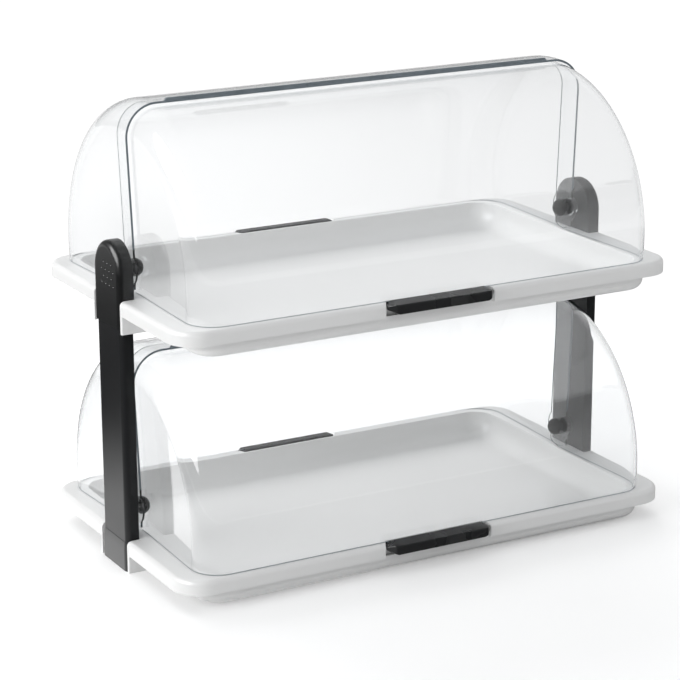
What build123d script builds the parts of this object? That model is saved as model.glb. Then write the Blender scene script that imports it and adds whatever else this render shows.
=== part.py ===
from build123d import *
from math import cos, hypot, radians, sin, sqrt, tan
import os

os.makedirs("parts", exist_ok=True)

# Two-tier countertop bread display bin. Millimetres, +Z up, X along the length,
# -Y towards the customer. Origin: centre of the footprint, on the counter.

# ---- driving sizes -------------------------------------------------------
RIM_LENGTH = 510.0          # tray rim, end to end
RIM_DEPTH = 300.0           # tray rim, front to back
RIM_CORNER = 28.0           # plan radius of the rim
RIM_TOP = 30.0              # rim top above the tray's bracket underside
RIM_SKIRT = 13.2            # height of the rim's skirt
RIM_EDGE_RADIUS = 4.5       # rounded top outer edge
RIM_SKIRT_WALL = 3.0
RIM_TOP_WALL = 3.5

BODY_LIFT = 2.5             # tray body underside above the bracket underside
END_LEDGE = 21.0            # rim overhang at the ends
SIDE_LEDGE = 6.0            # rim overhang at the front and back
BODY_CORNER = 24.0
BODY_EDGE_RADIUS = 9.0
TRAY_WALL = 7.0             # end walls
TRAY_FLOOR = 3.0
CAVITY_CORNER = 22.0
CAVITY_COVE = 18.0          # inside radius between floor and walls
CAVITY_LIP_RADIUS = 1.0

NOTCH_HALF = 51.5           # rim recess behind each handle, half length
NOTCH_SLOPE = 4.6           # extra half length at the recess mouth
NOTCH_CORNER = 1.0
NOTCH_WALL = 1.4            # side wall left behind the recess
NOTCH_LAND = 6.0            # solid rim kept beside the recess

POST_HALF_WIDTH = 26.3
POST_THICKNESS = 12.1
POST_WALL = 2.0
POST_OUTSET = -0.3          # post outer face beyond the rim end
POST_EDGE_RADIUS = 5.0
MOULDING_WALL = 1.3         # snap-on cap and foot
MOULDING_FIT = 0.1
CAP_EDGE_RADIUS = 6.1
CAP_INNER_RADIUS = 0.6
CAP_DROP_CLEAR = 3.0        # cap underside above the upper bracket underside
FOOT_HEIGHT = 27.5
FOOT_PLATE = 1.5

BRACKET_CHEEK = 3.0         # bracket wall beside the post
BRACKET_OUTSET = 0.5        # bracket face beyond the rim end
BRACKET_ROOT = 6.0          # bracket overlap into the tray body
BRACKET_EDGE_RADIUS = 1.2
BRACKET_FIT = 0.2
WEB_WALL = 6.0              # bracket web that the screws pull on
POCKET_HEIGHT = 18.0        # screw pocket, open underneath
POCKET_HALF = 18.0
POCKET_REACH = 7.0

PIVOT_RISE = 51.5           # cover pivot above the bracket underside
COVER_INSET = 0.5           # cover radius inside half the rim depth
COVER_WALL = 2.0
NEST_GAP = 1.5              # between the nested covers
COVER_CORNER = 30.0         # roof to end wall radius, outside
COVER_DRAFT = 2.3           # end wall lean, degrees
COVER_SEAT_GAP = 0.3        # cover edge above the rim
COVER_END_GAP = 8.6         # end wall to post, at the pivot
HUB_RADIUS = 16.5           # flat round pad about each pivot hole
REAR_LEAD = 11.0            # rear cover reaches this far past the top
FRONT_LEAD = 12.0           # front cover reaches this far past the top
SWING_CLEARANCE = 1.0       # end wall above the rim as it swings by
BEAD_HALF = 200.0           # stiffening bead along the rear cover's leading edge
BEAD_RISE = 2.0
BEAD_END = 2.5              # sloped ends of the bead
TAB_HALF = 50.0             # cover tab that hangs in the rim recess
TAB_DROP = 5.0              # tab below the rim top

STUD_SHANK_RADIUS = 4.0
STUD_HOLE_FIT = 0.08        # running fit of the covers and post on the stud
STUD_HEAD_STEP = 4.2        # head radius beyond the shank
STUD_HEAD_LENGTH = 7.6
STUD_HEAD_EDGE = 2.2        # straight side of the head
STUD_COLLAR_STEP = 2.4
STUD_COLLAR_LENGTH = 1.6
STUD_SEAT_GAP = 0.3
STUD_BARB_STEP = 0.7
STUD_BARB_LENGTH = 4.2
STUD_TIP_STEP = 0.8         # tip radius inside the shank
STUD_SLOT = 1.4
STUD_SLOT_LENGTH = 9.0
SPACER_WALL = 4.5
SPACER_BORE_CLEAR = 0.5

HANDLE_HALF = 55.0          # at the widest point of the plan
HANDLE_FACE_HALF = 48.5     # outer face
HANDLE_LIP_HALF = 50.5      # inner face
HANDLE_WAIST = 7.0          # widest point behind the outer face
HANDLE_STANDOUT = 7.0       # outer face beyond the rim
HANDLE_RISE = 1.4           # handle top above the rim
HANDLE_FALL = 2.1           # top slopes down to the outer face
HANDLE_HEIGHT = 10.9
HANDLE_EDGE = 1.0           # outer edge chamfer
HANDLE_LIP = 1.2            # inner lip, at the slot floor
HANDLE_LIP_DROP = 0.2       # inner lip top below the rim top
HANDLE_SLOT_FIT = 0.3       # slot clearance inside and under the cover edge
HANDLE_RUN_CLEAR = 0.6      # inner lip off the recess face
TAPE_THICKNESS = 0.5
TAPE_MARGIN = 0.4
TAPE_HALF = 48.0
SEAT = 0.02                 # thin glue line allowance

TIER_GAP = 24.0             # lower cover top to upper bracket underside

SCREW_RADIUS = 1.7
SCREW_HEAD_RADIUS = 3.4
SCREW_HEAD_HEIGHT = 2.2
SCREW_LENGTH = 12.0
SCREW_TIP = 2.0
SCREW_RISE = 11.0           # above the bracket underside
SCREW_SPACING = 24.0
SCREW_CLEARANCE = 0.2
SCREW_PILOT_FIT = 0.05
SCREW_RECESS_RADIUS = 1.5
SCREW_RECESS_DEPTH = 1.2

OVERCUT = 1.0               # cutting tools run past the faces they open

# ---- derived positions ---------------------------------------------------
RIM_HX, RIM_HY = RIM_LENGTH / 2, RIM_DEPTH / 2
BODY_HX, BODY_HY = RIM_HX - END_LEDGE, RIM_HY - SIDE_LEDGE
RIM_LOW = RIM_TOP - RIM_SKIRT
FLOOR_TOP = BODY_LIFT + TRAY_FLOOR

POST_OUT = RIM_HX + POST_OUTSET
POST_IN = POST_OUT - POST_THICKNESS
MOULD_GROW = MOULDING_WALL + MOULDING_FIT
MOULD_OUT = POST_OUT + MOULD_GROW
MOULD_IN = POST_IN - MOULD_GROW
MOULD_HALF = POST_HALF_WIDTH + MOULD_GROW
WEB_FACE = POST_IN - MOULDING_FIT
SLOT_HALF = MOULD_HALF + BRACKET_FIT
BRACKET_HALF = SLOT_HALF + BRACKET_CHEEK
BRACKET_OUT = RIM_HX + BRACKET_OUTSET

COVER_R = RIM_HY - COVER_INSET
COVER_X = POST_IN - COVER_END_GAP
FRONT_STEP = COVER_WALL + NEST_GAP
FRONT_R = COVER_R - FRONT_STEP
COVER_LOW = RIM_TOP + COVER_SEAT_GAP - PIVOT_RISE
RELIEF_R = PIVOT_RISE - RIM_TOP - SWING_CLEARANCE
HOLE_R = STUD_SHANK_RADIUS + STUD_HOLE_FIT
HEAD_R = STUD_SHANK_RADIUS + STUD_HEAD_STEP
COLLAR_R = STUD_SHANK_RADIUS + STUD_COLLAR_STEP
BARB_R = STUD_SHANK_RADIUS + STUD_BARB_STEP
TIP_R = STUD_SHANK_RADIUS - STUD_TIP_STEP
SPACER_BORE = STUD_SHANK_RADIUS + SPACER_BORE_CLEAR
HEAD_BACK = COVER_X - FRONT_STEP - COVER_WALL - STUD_SEAT_GAP
SPACER_START = COVER_X + STUD_SEAT_GAP

TAB_LOW = RIM_TOP - TAB_DROP
HANDLE_OUT = RIM_HY + HANDLE_STANDOUT
HANDLE_TOP = RIM_TOP + HANDLE_RISE
HANDLE_LOW = HANDLE_TOP - HANDLE_HEIGHT
LIP_SETBACK = COVER_WALL + HANDLE_SLOT_FIT
LIP_FACES = {r: sqrt((r - LIP_SETBACK) ** 2 - (PIVOT_RISE - TAB_LOW) ** 2) - HANDLE_LIP
             for r in (FRONT_R, COVER_R)}
NOTCH_FACE = LIP_FACES[FRONT_R] - HANDLE_RUN_CLEAR
CAV_HX, CAV_HY = BODY_HX - TRAY_WALL, NOTCH_FACE - NOTCH_WALL

TIER_PITCH = PIVOT_RISE + COVER_R + TIER_GAP
TIERS = {"lower": 0.0, "upper": TIER_PITCH}
SIDES = {"left": -1, "right": 1}


def slab(half_x, half_y, corner, low, high):
    """Rounded rectangular slab between two heights."""
    outline = RectangleRounded(2 * half_x, 2 * half_y, corner)
    return extrude(Plane.XY.offset(low) * outline, high - low)


def block(x0, x1, y0, y1, z0, z1):
    """Box between two corners."""
    return Pos(x0, y0, z0) * Box(x1 - x0, y1 - y0, z1 - z0, align=(Align.MIN,) * 3)


def bar_x(radius, x0, x1, y=0.0, z=0.0):
    """Round bar along X."""
    tool = Cylinder(radius, x1 - x0, align=(Align.CENTER, Align.CENTER, Align.MIN))
    return Pos(x0, y, z) * Rot(0, 90, 0) * tool


def handed(shape, side):
    """The right-hand shape, or its mirror image for the left."""
    return shape if side > 0 else mirror(shape, about=Plane.YZ)


def facing(shape, front):
    """The rear shape, or its mirror image for the front."""
    return mirror(shape, about=Plane.XZ) if front else shape


def both_ends(shape):
    """The shape and its mirror image at the other end."""
    return shape + mirror(shape, about=Plane.YZ)


def both_sides(shape):
    """The shape and its mirror image at the other long side."""
    return shape + mirror(shape, about=Plane.XZ)


# ---- tray ----------------------------------------------------------------
def tray():
    """Moulded tray with its rim, handle recesses and end brackets."""
    body = slab(BODY_HX, BODY_HY, BODY_CORNER, BODY_LIFT, RIM_TOP - RIM_TOP_WALL)
    body = fillet(body.edges().group_by(Axis.Z)[0], BODY_EDGE_RADIUS)
    rim = slab(RIM_HX, RIM_HY, RIM_CORNER, RIM_LOW, RIM_TOP)
    rim = fillet(rim.edges().group_by(Axis.Z)[-1], RIM_EDGE_RADIUS)

    channel = slab(RIM_HX - RIM_SKIRT_WALL, RIM_HY - RIM_SKIRT_WALL,
                   RIM_CORNER - RIM_SKIRT_WALL, RIM_LOW - OVERCUT, RIM_TOP - RIM_TOP_WALL)
    channel -= slab(BODY_HX, BODY_HY, BODY_CORNER, 0, RIM_TOP)
    land = NOTCH_HALF + NOTCH_SLOPE + NOTCH_LAND
    channel -= block(-land, land, -RIM_HY, RIM_HY, 0, RIM_TOP)
    channel -= block(-RIM_HX, RIM_HX, -BRACKET_HALF, BRACKET_HALF, 0, RIM_TOP)
    shell = (body + rim) - channel

    bracket = block(BODY_HX - BRACKET_ROOT, BRACKET_OUT, -BRACKET_HALF, BRACKET_HALF, 0, RIM_TOP)
    outer = bracket.faces().sort_by(Axis.X)[-1]
    bracket = fillet(outer.edges().filter_by(Axis.Z), BRACKET_EDGE_RADIUS)
    crown = bracket.faces().sort_by(Axis.X)[-1].edges().sort_by(Axis.Z)[-1]
    bracket = fillet(crown, RIM_EDGE_RADIUS)
    shell += both_ends(bracket)

    cavity = slab(CAV_HX, CAV_HY, CAVITY_CORNER, FLOOR_TOP, RIM_TOP + CAVITY_COVE)
    cavity = fillet(cavity.edges().group_by(Axis.Z)[0], CAVITY_COVE)
    shell -= cavity
    lip = [e for e in shell.edges().group_by(Axis.Z)[-1]
           if e.bounding_box().max.X < CAV_HX + SEAT and e.bounding_box().min.X > -CAV_HX - SEAT
           and e.bounding_box().max.Y < CAV_HY + SEAT and e.bounding_box().min.Y > -CAV_HY - SEAT]
    shell = fillet(lip, CAVITY_LIP_RADIUS)

    flare = NOTCH_SLOPE / (RIM_HY - NOTCH_FACE)
    wide = RIM_HY + OVERCUT
    mouth = NOTCH_HALF + flare * (wide - NOTCH_FACE)
    notch = make_face(Polyline((-NOTCH_HALF, NOTCH_FACE), (NOTCH_HALF, NOTCH_FACE),
                               (mouth, wide), (-mouth, wide), close=True))
    notch = fillet(notch.vertices().group_by(Axis.Y)[0], NOTCH_CORNER)
    cut = extrude(Plane.XY.offset(RIM_LOW) * notch, RIM_SKIRT + OVERCUT)
    shell -= both_sides(cut)

    slot = block(WEB_FACE, BRACKET_OUT + OVERCUT, -SLOT_HALF, SLOT_HALF, -OVERCUT, RIM_TOP + OVERCUT)
    web_back = WEB_FACE - WEB_WALL
    slot += block(web_back - POCKET_REACH, web_back, -POCKET_HALF, POCKET_HALF,
                  -OVERCUT, POCKET_HEIGHT)
    for y in (-SCREW_SPACING / 2, SCREW_SPACING / 2):
        slot += bar_x(SCREW_RADIUS + SCREW_CLEARANCE, web_back - OVERCUT, WEB_FACE + OVERCUT,
                      y, SCREW_RISE)
    return shell - both_ends(slot)


# ---- nested covers -------------------------------------------------------
def cover_outline(depth):
    """Closed half section under a cover surface set in by the given depth."""
    lean = radians(COVER_DRAFT)
    end, roof, corner = COVER_X - depth, COVER_R - depth, COVER_CORNER - depth
    centre_r = roof - corner
    centre_x = end + (centre_r - HUB_RADIUS) * tan(lean) - corner / cos(lean)
    start = (centre_x + corner * cos(lean), centre_r - corner * sin(lean))
    middle_angle = (radians(90) - lean) / 2
    middle = (centre_x + corner * cos(middle_angle), centre_r + corner * sin(middle_angle))
    right = [(end, HOLE_R), (end, HUB_RADIUS), start]
    left = [(-x, r) for x, r in right]
    lines = [Line(right[0], right[1]), Line(right[1], right[2]),
             ThreePointArc(start, middle, (centre_x, roof)),
             Line((centre_x, roof), (-centre_x, roof)),
             ThreePointArc((-centre_x, roof), (-middle[0], middle[1]), left[2]),
             Line(left[2], left[1]), Line(left[1], left[0]), Line(left[0], right[0])]
    return make_face(lines)


def bead(lead):
    """Low upstanding bead on a leading edge."""
    low, top = COVER_R - COVER_WALL / 2, COVER_R + BEAD_RISE
    face = make_face(Polyline((-BEAD_HALF, low), (BEAD_HALF, low), (BEAD_HALF - BEAD_END, top),
                              (BEAD_END - BEAD_HALF, top), close=True))
    return extrude(Plane.XZ.offset(lead - COVER_WALL) * face, COVER_WALL)


def cover(depth, lead, front):
    """Half of a clear drum that turns on the pivots, cut to its own side."""
    strip = cover_outline(depth) - cover_outline(depth + COVER_WALL)
    drum = revolve(Plane.XZ * strip, Axis.X, 360)

    far = COVER_R + OVERCUT
    keep = Rectangle(far + lead, far - COVER_LOW, align=(Align.MIN, Align.MIN))
    keep = Pos(-lead, COVER_LOW) * keep
    swing = Pos(-lead, COVER_LOW) * Rectangle(lead, -COVER_LOW, align=(Align.MIN, Align.MIN))
    keep = keep - (swing - Circle(RELIEF_R)) + Circle(HUB_RADIUS)
    tool = extrude(Plane.YZ.offset(-RIM_HX) * keep, RIM_LENGTH)
    tool += block(-TAB_HALF, TAB_HALF, HUB_RADIUS, far, TAB_LOW - PIVOT_RISE, 0)
    shell = drum & tool if front else (drum & tool) + bead(lead)
    return facing(Pos(0, 0, PIVOT_RISE) * shell, front)


# ---- handles -------------------------------------------------------------
def handle(cover_radius, front):
    """Pull bar pushed up over a cover's tab, hanging in the rim recess."""
    out, lip = HANDLE_OUT, LIP_FACES[cover_radius]
    plan = Polyline((-HANDLE_LIP_HALF, lip), (-HANDLE_HALF, out - HANDLE_WAIST),
                    (-HANDLE_FACE_HALF, out), (HANDLE_FACE_HALF, out),
                    (HANDLE_HALF, out - HANDLE_WAIST), (HANDLE_LIP_HALF, lip), close=True)
    bar = extrude(Plane.XY.offset(HANDLE_LOW) * make_face(plan), HANDLE_HEIGHT)
    reach = HANDLE_HALF + OVERCUT
    wedge = Polyline((cover_radius, HANDLE_TOP), (out, HANDLE_TOP - HANDLE_FALL),
                     (out + OVERCUT, HANDLE_TOP + OVERCUT), (cover_radius, HANDLE_TOP + OVERCUT),
                     close=True)
    bar -= extrude(Plane.YZ.offset(-reach) * make_face(wedge), 2 * reach)
    rims = [e for e in bar.edges() if e.center().Y > lip + SEAT
            and (e.bounding_box().min.Z > HANDLE_TOP - HANDLE_FALL - SEAT
                 or e.bounding_box().max.Z < HANDLE_LOW + SEAT)
            and abs(e.center().Y - cover_radius) > SEAT]
    bar = chamfer(rims, HANDLE_EDGE)
    slot = bar_x(cover_radius + TAPE_THICKNESS + 2 * SEAT, -reach, reach, 0, PIVOT_RISE)
    slot -= bar_x(cover_radius - LIP_SETBACK, -reach - OVERCUT, reach + OVERCUT, 0, PIVOT_RISE)
    slot &= block(-reach, reach, 0, out, TAB_LOW - HANDLE_SLOT_FIT, PIVOT_RISE)
    slot += block(-reach, reach, 0, cover_radius - LIP_SETBACK, RIM_TOP - HANDLE_LIP_DROP, PIVOT_RISE)
    return facing(bar - slot, front)


def tape(cover_radius, front):
    """Bonding strip between a handle and its cover."""
    inner = cover_radius + SEAT
    low = TAB_LOW + TAPE_MARGIN
    ring = bar_x(inner + TAPE_THICKNESS, -TAPE_HALF, TAPE_HALF, 0, PIVOT_RISE)
    ring -= bar_x(inner, -TAPE_HALF - OVERCUT, TAPE_HALF + OVERCUT, 0, PIVOT_RISE)
    band = block(-TAPE_HALF, TAPE_HALF, 0, COVER_R + RIM_HY, low, HANDLE_TOP - TAPE_MARGIN)
    return facing(ring & band, front)


# ---- posts and their mouldings -------------------------------------------
def arch(half, x0, x1, low):
    """Upright plate with a round top centred on the upper pivot."""
    axis = TIER_PITCH + PIVOT_RISE
    face = Pos(0, low) * Rectangle(2 * half, axis - low, align=(Align.CENTER, Align.MIN))
    face += Pos(0, axis) * Circle(half)
    return extrude(Plane.YZ.offset(x0) * face, x1 - x0)


def upright_edges(shape, x):
    """Edges of an end face except those on its lowest line."""
    edges = [e for e in shape.edges() if abs(e.center().X - x) < SEAT]
    low = min(e.center().Z for e in edges)
    return [e for e in edges if e.center().Z > low + SEAT]


def post():
    """Hollow upright that carries both trays and all pivots of its end."""
    low = FOOT_PLATE + MOULDING_FIT
    shape = arch(POST_HALF_WIDTH, POST_IN, POST_OUT, low)
    shape = fillet(upright_edges(shape, POST_OUT), POST_EDGE_RADIUS)
    hollow = arch(POST_HALF_WIDTH - POST_WALL, POST_IN + POST_WALL, POST_OUT - POST_WALL,
                  low - OVERCUT)
    shape -= fillet(upright_edges(hollow, POST_OUT - POST_WALL), POST_EDGE_RADIUS - POST_WALL)
    for rise in TIERS.values():
        shape -= bar_x(HOLE_R, POST_IN - OVERCUT, POST_IN + POST_WALL + OVERCUT,
                       0, rise + PIVOT_RISE)
        for y in (-SCREW_SPACING / 2, SCREW_SPACING / 2):
            shape -= bar_x(SCREW_RADIUS + SCREW_PILOT_FIT, POST_IN - OVERCUT,
                           POST_IN + POST_WALL + OVERCUT, y, rise + SCREW_RISE)
    return shape


def post_room(low):
    """Space that the post fills inside a moulding."""
    fit = MOULDING_FIT
    room = arch(POST_HALF_WIDTH + fit, POST_IN - fit, POST_OUT + fit, low)
    return fillet(upright_edges(room, POST_OUT + fit), POST_EDGE_RADIUS)


def cap():
    """Snap-on arched cap over the post's upper end."""
    low = TIER_PITCH + CAP_DROP_CLEAR
    shape = arch(MOULD_HALF, MOULD_IN, MOULD_OUT, low)
    shape = fillet(upright_edges(shape, MOULD_OUT), CAP_EDGE_RADIUS)
    shape = fillet(upright_edges(shape, MOULD_IN), CAP_INNER_RADIUS)
    shape -= post_room(low - OVERCUT)
    sill = TIER_PITCH + RIM_TOP + BRACKET_FIT
    shape -= block(MOULD_IN - OVERCUT, POST_IN - MOULDING_FIT, -RIM_HY, RIM_HY, 0, sill)
    return shape - bar_x(SPACER_BORE, MOULD_IN - OVERCUT, POST_IN,
                         0, TIER_PITCH + PIVOT_RISE)


def foot():
    """Snap-on shoe round the post's lower end."""
    shape = block(POST_IN, MOULD_OUT, -MOULD_HALF, MOULD_HALF, 0, FOOT_HEIGHT)
    outer = [e for e in shape.edges().filter_by(Axis.Z) if e.center().X > MOULD_OUT - SEAT]
    shape = fillet(outer, CAP_EDGE_RADIUS)
    return shape - post_room(FOOT_PLATE)


# ---- pivots and screws ---------------------------------------------------
def stud():
    """Snap-in pivot: domed head, collar, shank and split barb, along +X."""
    tip = HEAD_BACK - STUD_COLLAR_LENGTH - STUD_HEAD_LENGTH
    head_back = HEAD_BACK - STUD_COLLAR_LENGTH
    dome_start = head_back - STUD_HEAD_EDGE
    dome_mid = (tip + (dome_start - tip) * (1 - sqrt(0.5)), HEAD_R * sqrt(0.5))
    barb = POST_IN + POST_WALL + STUD_SEAT_GAP
    end = barb + STUD_BARB_LENGTH
    lines = [ThreePointArc((tip, 0), dome_mid, (dome_start, HEAD_R))]
    lines.append(Polyline((dome_start, HEAD_R), (head_back, HEAD_R),
                          (head_back, COLLAR_R), (HEAD_BACK, COLLAR_R),
                          (HEAD_BACK, STUD_SHANK_RADIUS), (barb, STUD_SHANK_RADIUS),
                          (barb, BARB_R), (end, TIP_R), (end, 0), (tip, 0)))
    shape = revolve(Plane.XZ * make_face(lines), Axis.X, 360)
    return shape - block(end - STUD_SLOT_LENGTH, end + OVERCUT, -BARB_R,
                         BARB_R, -STUD_SLOT / 2, STUD_SLOT / 2)


def spacer(post_side):
    """Clear ring between a cover and the face behind it."""
    ring = bar_x(SPACER_BORE + SPACER_WALL, SPACER_START, post_side)
    return ring - bar_x(SPACER_BORE, SPACER_START - OVERCUT, post_side + OVERCUT)


def screw():
    """Pan-head screw along +X, head against the bracket web."""
    seat = WEB_FACE - WEB_WALL
    shape = bar_x(SCREW_HEAD_RADIUS, seat - SCREW_HEAD_HEIGHT, seat)
    shape -= bar_x(SCREW_RECESS_RADIUS, seat - SCREW_HEAD_HEIGHT - OVERCUT,
                   seat - SCREW_HEAD_HEIGHT + SCREW_RECESS_DEPTH)
    shape += bar_x(SCREW_RADIUS, seat, seat + SCREW_LENGTH - SCREW_TIP)
    cone = Cone(SCREW_RADIUS, SCREW_RADIUS / 4, SCREW_TIP,
                align=(Align.CENTER, Align.CENTER, Align.MIN))
    return shape + Pos(seat + SCREW_LENGTH - SCREW_TIP, 0, 0) * Rot(0, 90, 0) * cone


def save(name, shape):
    """Write one node."""
    export_step(shape, f"parts/{name}.step")


tray_shape = tray()
covers = {"front": cover(FRONT_STEP, FRONT_LEAD, True), "rear": cover(0.0, REAR_LEAD, False)}
radii = {"front": FRONT_R, "rear": COVER_R}
stud_shape, screw_shape = stud(), screw()
post_shape, cap_shape, foot_shape = post(), cap(), foot()
spacers, screws = [], []

for tier, rise in TIERS.items():
    save(f"{tier}_tray", Pos(0, 0, rise) * tray_shape)
    for place, radius in radii.items():
        front = place == "front"
        save(f"{tier}_{place}_cover", Pos(0, 0, rise) * covers[place])
        save(f"{tier}_{place}_handle", Pos(0, 0, rise) * handle(radius, front))
        save(f"{tier}_{place}_handle_tape", Pos(0, 0, rise) * tape(radius, front))
    post_side = MOULD_IN if tier == "upper" else POST_IN
    for name, side in SIDES.items():
        axis = Pos(0, 0, rise + PIVOT_RISE)
        save(f"{tier}_{name}_stud", axis * handed(stud_shape, side))
        spacers.append(axis * handed(spacer(post_side), side))
        for y in (-SCREW_SPACING / 2, SCREW_SPACING / 2):
            screws.append(Pos(0, y, rise + SCREW_RISE) * handed(screw_shape, side))

for name, side in SIDES.items():
    save(f"{name}_post", handed(post_shape, side))
    save(f"{name}_post_cap", handed(cap_shape, side))
    save(f"{name}_post_foot", handed(foot_shape, side))

save("pivot_spacers", Compound(children=spacers))
save("bracket_screws", Compound(children=screws))
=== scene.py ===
"""Two-tier countertop bread display bin: finishes, detail pieces, studio and camera."""

import logging
import math
from dataclasses import dataclass
from enum import Enum

import bmesh
import bpy
from mathutils import Matrix, Vector

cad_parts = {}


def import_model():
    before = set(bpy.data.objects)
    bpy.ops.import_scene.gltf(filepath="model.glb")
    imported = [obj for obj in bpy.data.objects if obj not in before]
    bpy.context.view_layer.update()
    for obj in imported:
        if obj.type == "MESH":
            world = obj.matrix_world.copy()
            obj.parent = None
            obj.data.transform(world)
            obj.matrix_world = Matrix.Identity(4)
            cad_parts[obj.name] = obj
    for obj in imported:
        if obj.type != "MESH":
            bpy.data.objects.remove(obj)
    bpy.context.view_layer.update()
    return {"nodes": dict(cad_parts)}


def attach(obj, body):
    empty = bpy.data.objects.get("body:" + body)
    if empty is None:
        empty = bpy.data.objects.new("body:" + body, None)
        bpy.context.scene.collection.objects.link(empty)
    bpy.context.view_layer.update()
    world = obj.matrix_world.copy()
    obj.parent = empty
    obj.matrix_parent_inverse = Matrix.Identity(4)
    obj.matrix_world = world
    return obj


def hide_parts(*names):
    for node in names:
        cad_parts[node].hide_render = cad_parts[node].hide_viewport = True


LOG = logging.getLogger("bread_bin")

Colour = tuple[float, float, float]
Point = tuple[float, float, float]

MM = 0.001  # one millimetre in the frame's metres
MERGE = 1e-4  # points and planes this close, in millimetres, are one
CRISP = math.radians(28.0)  # edges that turn further stay sharp in the shading
PIVOT_RISE = 51.5  # millimetres from a tray bracket's underside to its pivot axis
TIER_PITCH = 225.0  # millimetres from the lower tray to the upper one


class Tier(Enum):
    """The two levels of the bin."""

    LOWER = "lower"
    UPPER = "upper"

    @property
    def rise(self) -> float:
        """Height of this level's tray brackets, in millimetres."""
        return TIER_PITCH if self is Tier.UPPER else 0.0


class Face(Enum):
    """The long sides that a cover closes."""

    FRONT = "front"
    REAR = "rear"

    @property
    def side(self) -> int:
        """Direction of this side along Y."""
        return -1 if self is Face.FRONT else 1


class End(Enum):
    """The short sides that carry the pivots."""

    LEFT = "left"
    RIGHT = "right"

    @property
    def side(self) -> int:
        """Direction of this end along X."""
        return -1 if self is End.LEFT else 1


class NodeSheet:
    """A small helper that lays out one material's nodes."""

    def __init__(self, name: str) -> None:
        """Start an empty material.

        Args:
            name: The material's name.
        """
        self.material = bpy.data.materials.new(name)
        self.material.use_nodes = True
        self.tree = self.material.node_tree
        self.tree.nodes.clear()
        self.output = self.tree.nodes.new("ShaderNodeOutputMaterial")

    def add(self, kind: str, **values: object) -> bpy.types.Node:
        """Add a node and set its attributes.

        Args:
            kind: Blender's node type without its prefix.
            **values: Attributes to set on the node.

        Returns:
            The new node.
        """
        node = self.tree.nodes.new("ShaderNode" + kind)
        for key, value in values.items():
            setattr(node, key, value)
        return node

    def link(self, source: bpy.types.NodeSocket, target: bpy.types.NodeSocket) -> None:
        """Join two sockets."""
        self.tree.links.new(source, target)

    def noise(self, scale: float, detail: float = 2.0) -> bpy.types.Node:
        """Add a noise pattern on the piece's own coordinates.

        Args:
            scale: Features per metre.
            detail: Octaves of finer noise.

        Returns:
            The noise node.
        """
        place = self.add("TexCoord")
        node = self.add("TexNoise")
        node.inputs["Scale"].default_value = scale
        node.inputs["Detail"].default_value = detail
        self.link(place.outputs["Object"], node.inputs["Vector"])
        return node

    def spread(self, source: bpy.types.NodeSocket, low: float, high: float) -> bpy.types.NodeSocket:
        """Map a pattern onto a range of values.

        Args:
            source: The pattern.
            low: Value where the pattern is 0.
            high: Value where the pattern is 1.

        Returns:
            The mapped socket.
        """
        node = self.add("MapRange")
        node.inputs["To Min"].default_value = low
        node.inputs["To Max"].default_value = high
        self.link(source, node.inputs["Value"])
        return node.outputs["Result"]

    def blend_colours(self, factor: bpy.types.NodeSocket, first: Colour,
                      second: Colour) -> bpy.types.NodeSocket:
        """Blend two colours by a pattern.

        Args:
            factor: The pattern.
            first: Colour at 0.
            second: Colour at 1.

        Returns:
            The blended colour socket.
        """
        node = self.add("Mix", data_type="RGBA")
        node.inputs["A"].default_value = (*first, 1.0)
        node.inputs["B"].default_value = (*second, 1.0)
        self.link(factor, node.inputs["Factor"])
        return node.outputs["Result"]


@dataclass(frozen=True)
class MouldedFinish:
    """Moulded plastic with a fine skin and slight colour drift."""

    name: str
    colour: Colour
    drift: Colour
    roughness: float
    roughness_spread: float
    skin_scale: float
    skin_depth: float
    specular: float
    cloud_scale: float = 6.0
    smear_scale: float = 28.0
    skin_detail: float = 3.0

    def build(self) -> bpy.types.Material:
        """Make the material.

        Returns:
            The finished material.
        """
        sheet = NodeSheet(self.name)
        shader = sheet.add("BsdfPrincipled")
        cloud = sheet.noise(self.cloud_scale)
        colour = sheet.blend_colours(cloud.outputs["Fac"], self.colour, self.drift)
        sheet.link(colour, shader.inputs["Base Color"])
        smear = sheet.noise(self.smear_scale)
        low = self.roughness - self.roughness_spread
        high = self.roughness + self.roughness_spread
        sheet.link(sheet.spread(smear.outputs["Fac"], low, high), shader.inputs["Roughness"])
        shader.inputs["Specular IOR Level"].default_value = self.specular
        skin = sheet.noise(self.skin_scale, self.skin_detail)
        bump = sheet.add("Bump")
        bump.inputs["Distance"].default_value = self.skin_depth
        sheet.link(skin.outputs["Fac"], bump.inputs["Height"])
        sheet.link(bump.outputs["Normal"], shader.inputs["Normal"])
        sheet.link(shader.outputs["BSDF"], sheet.output.inputs["Surface"])
        return sheet.material


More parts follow.
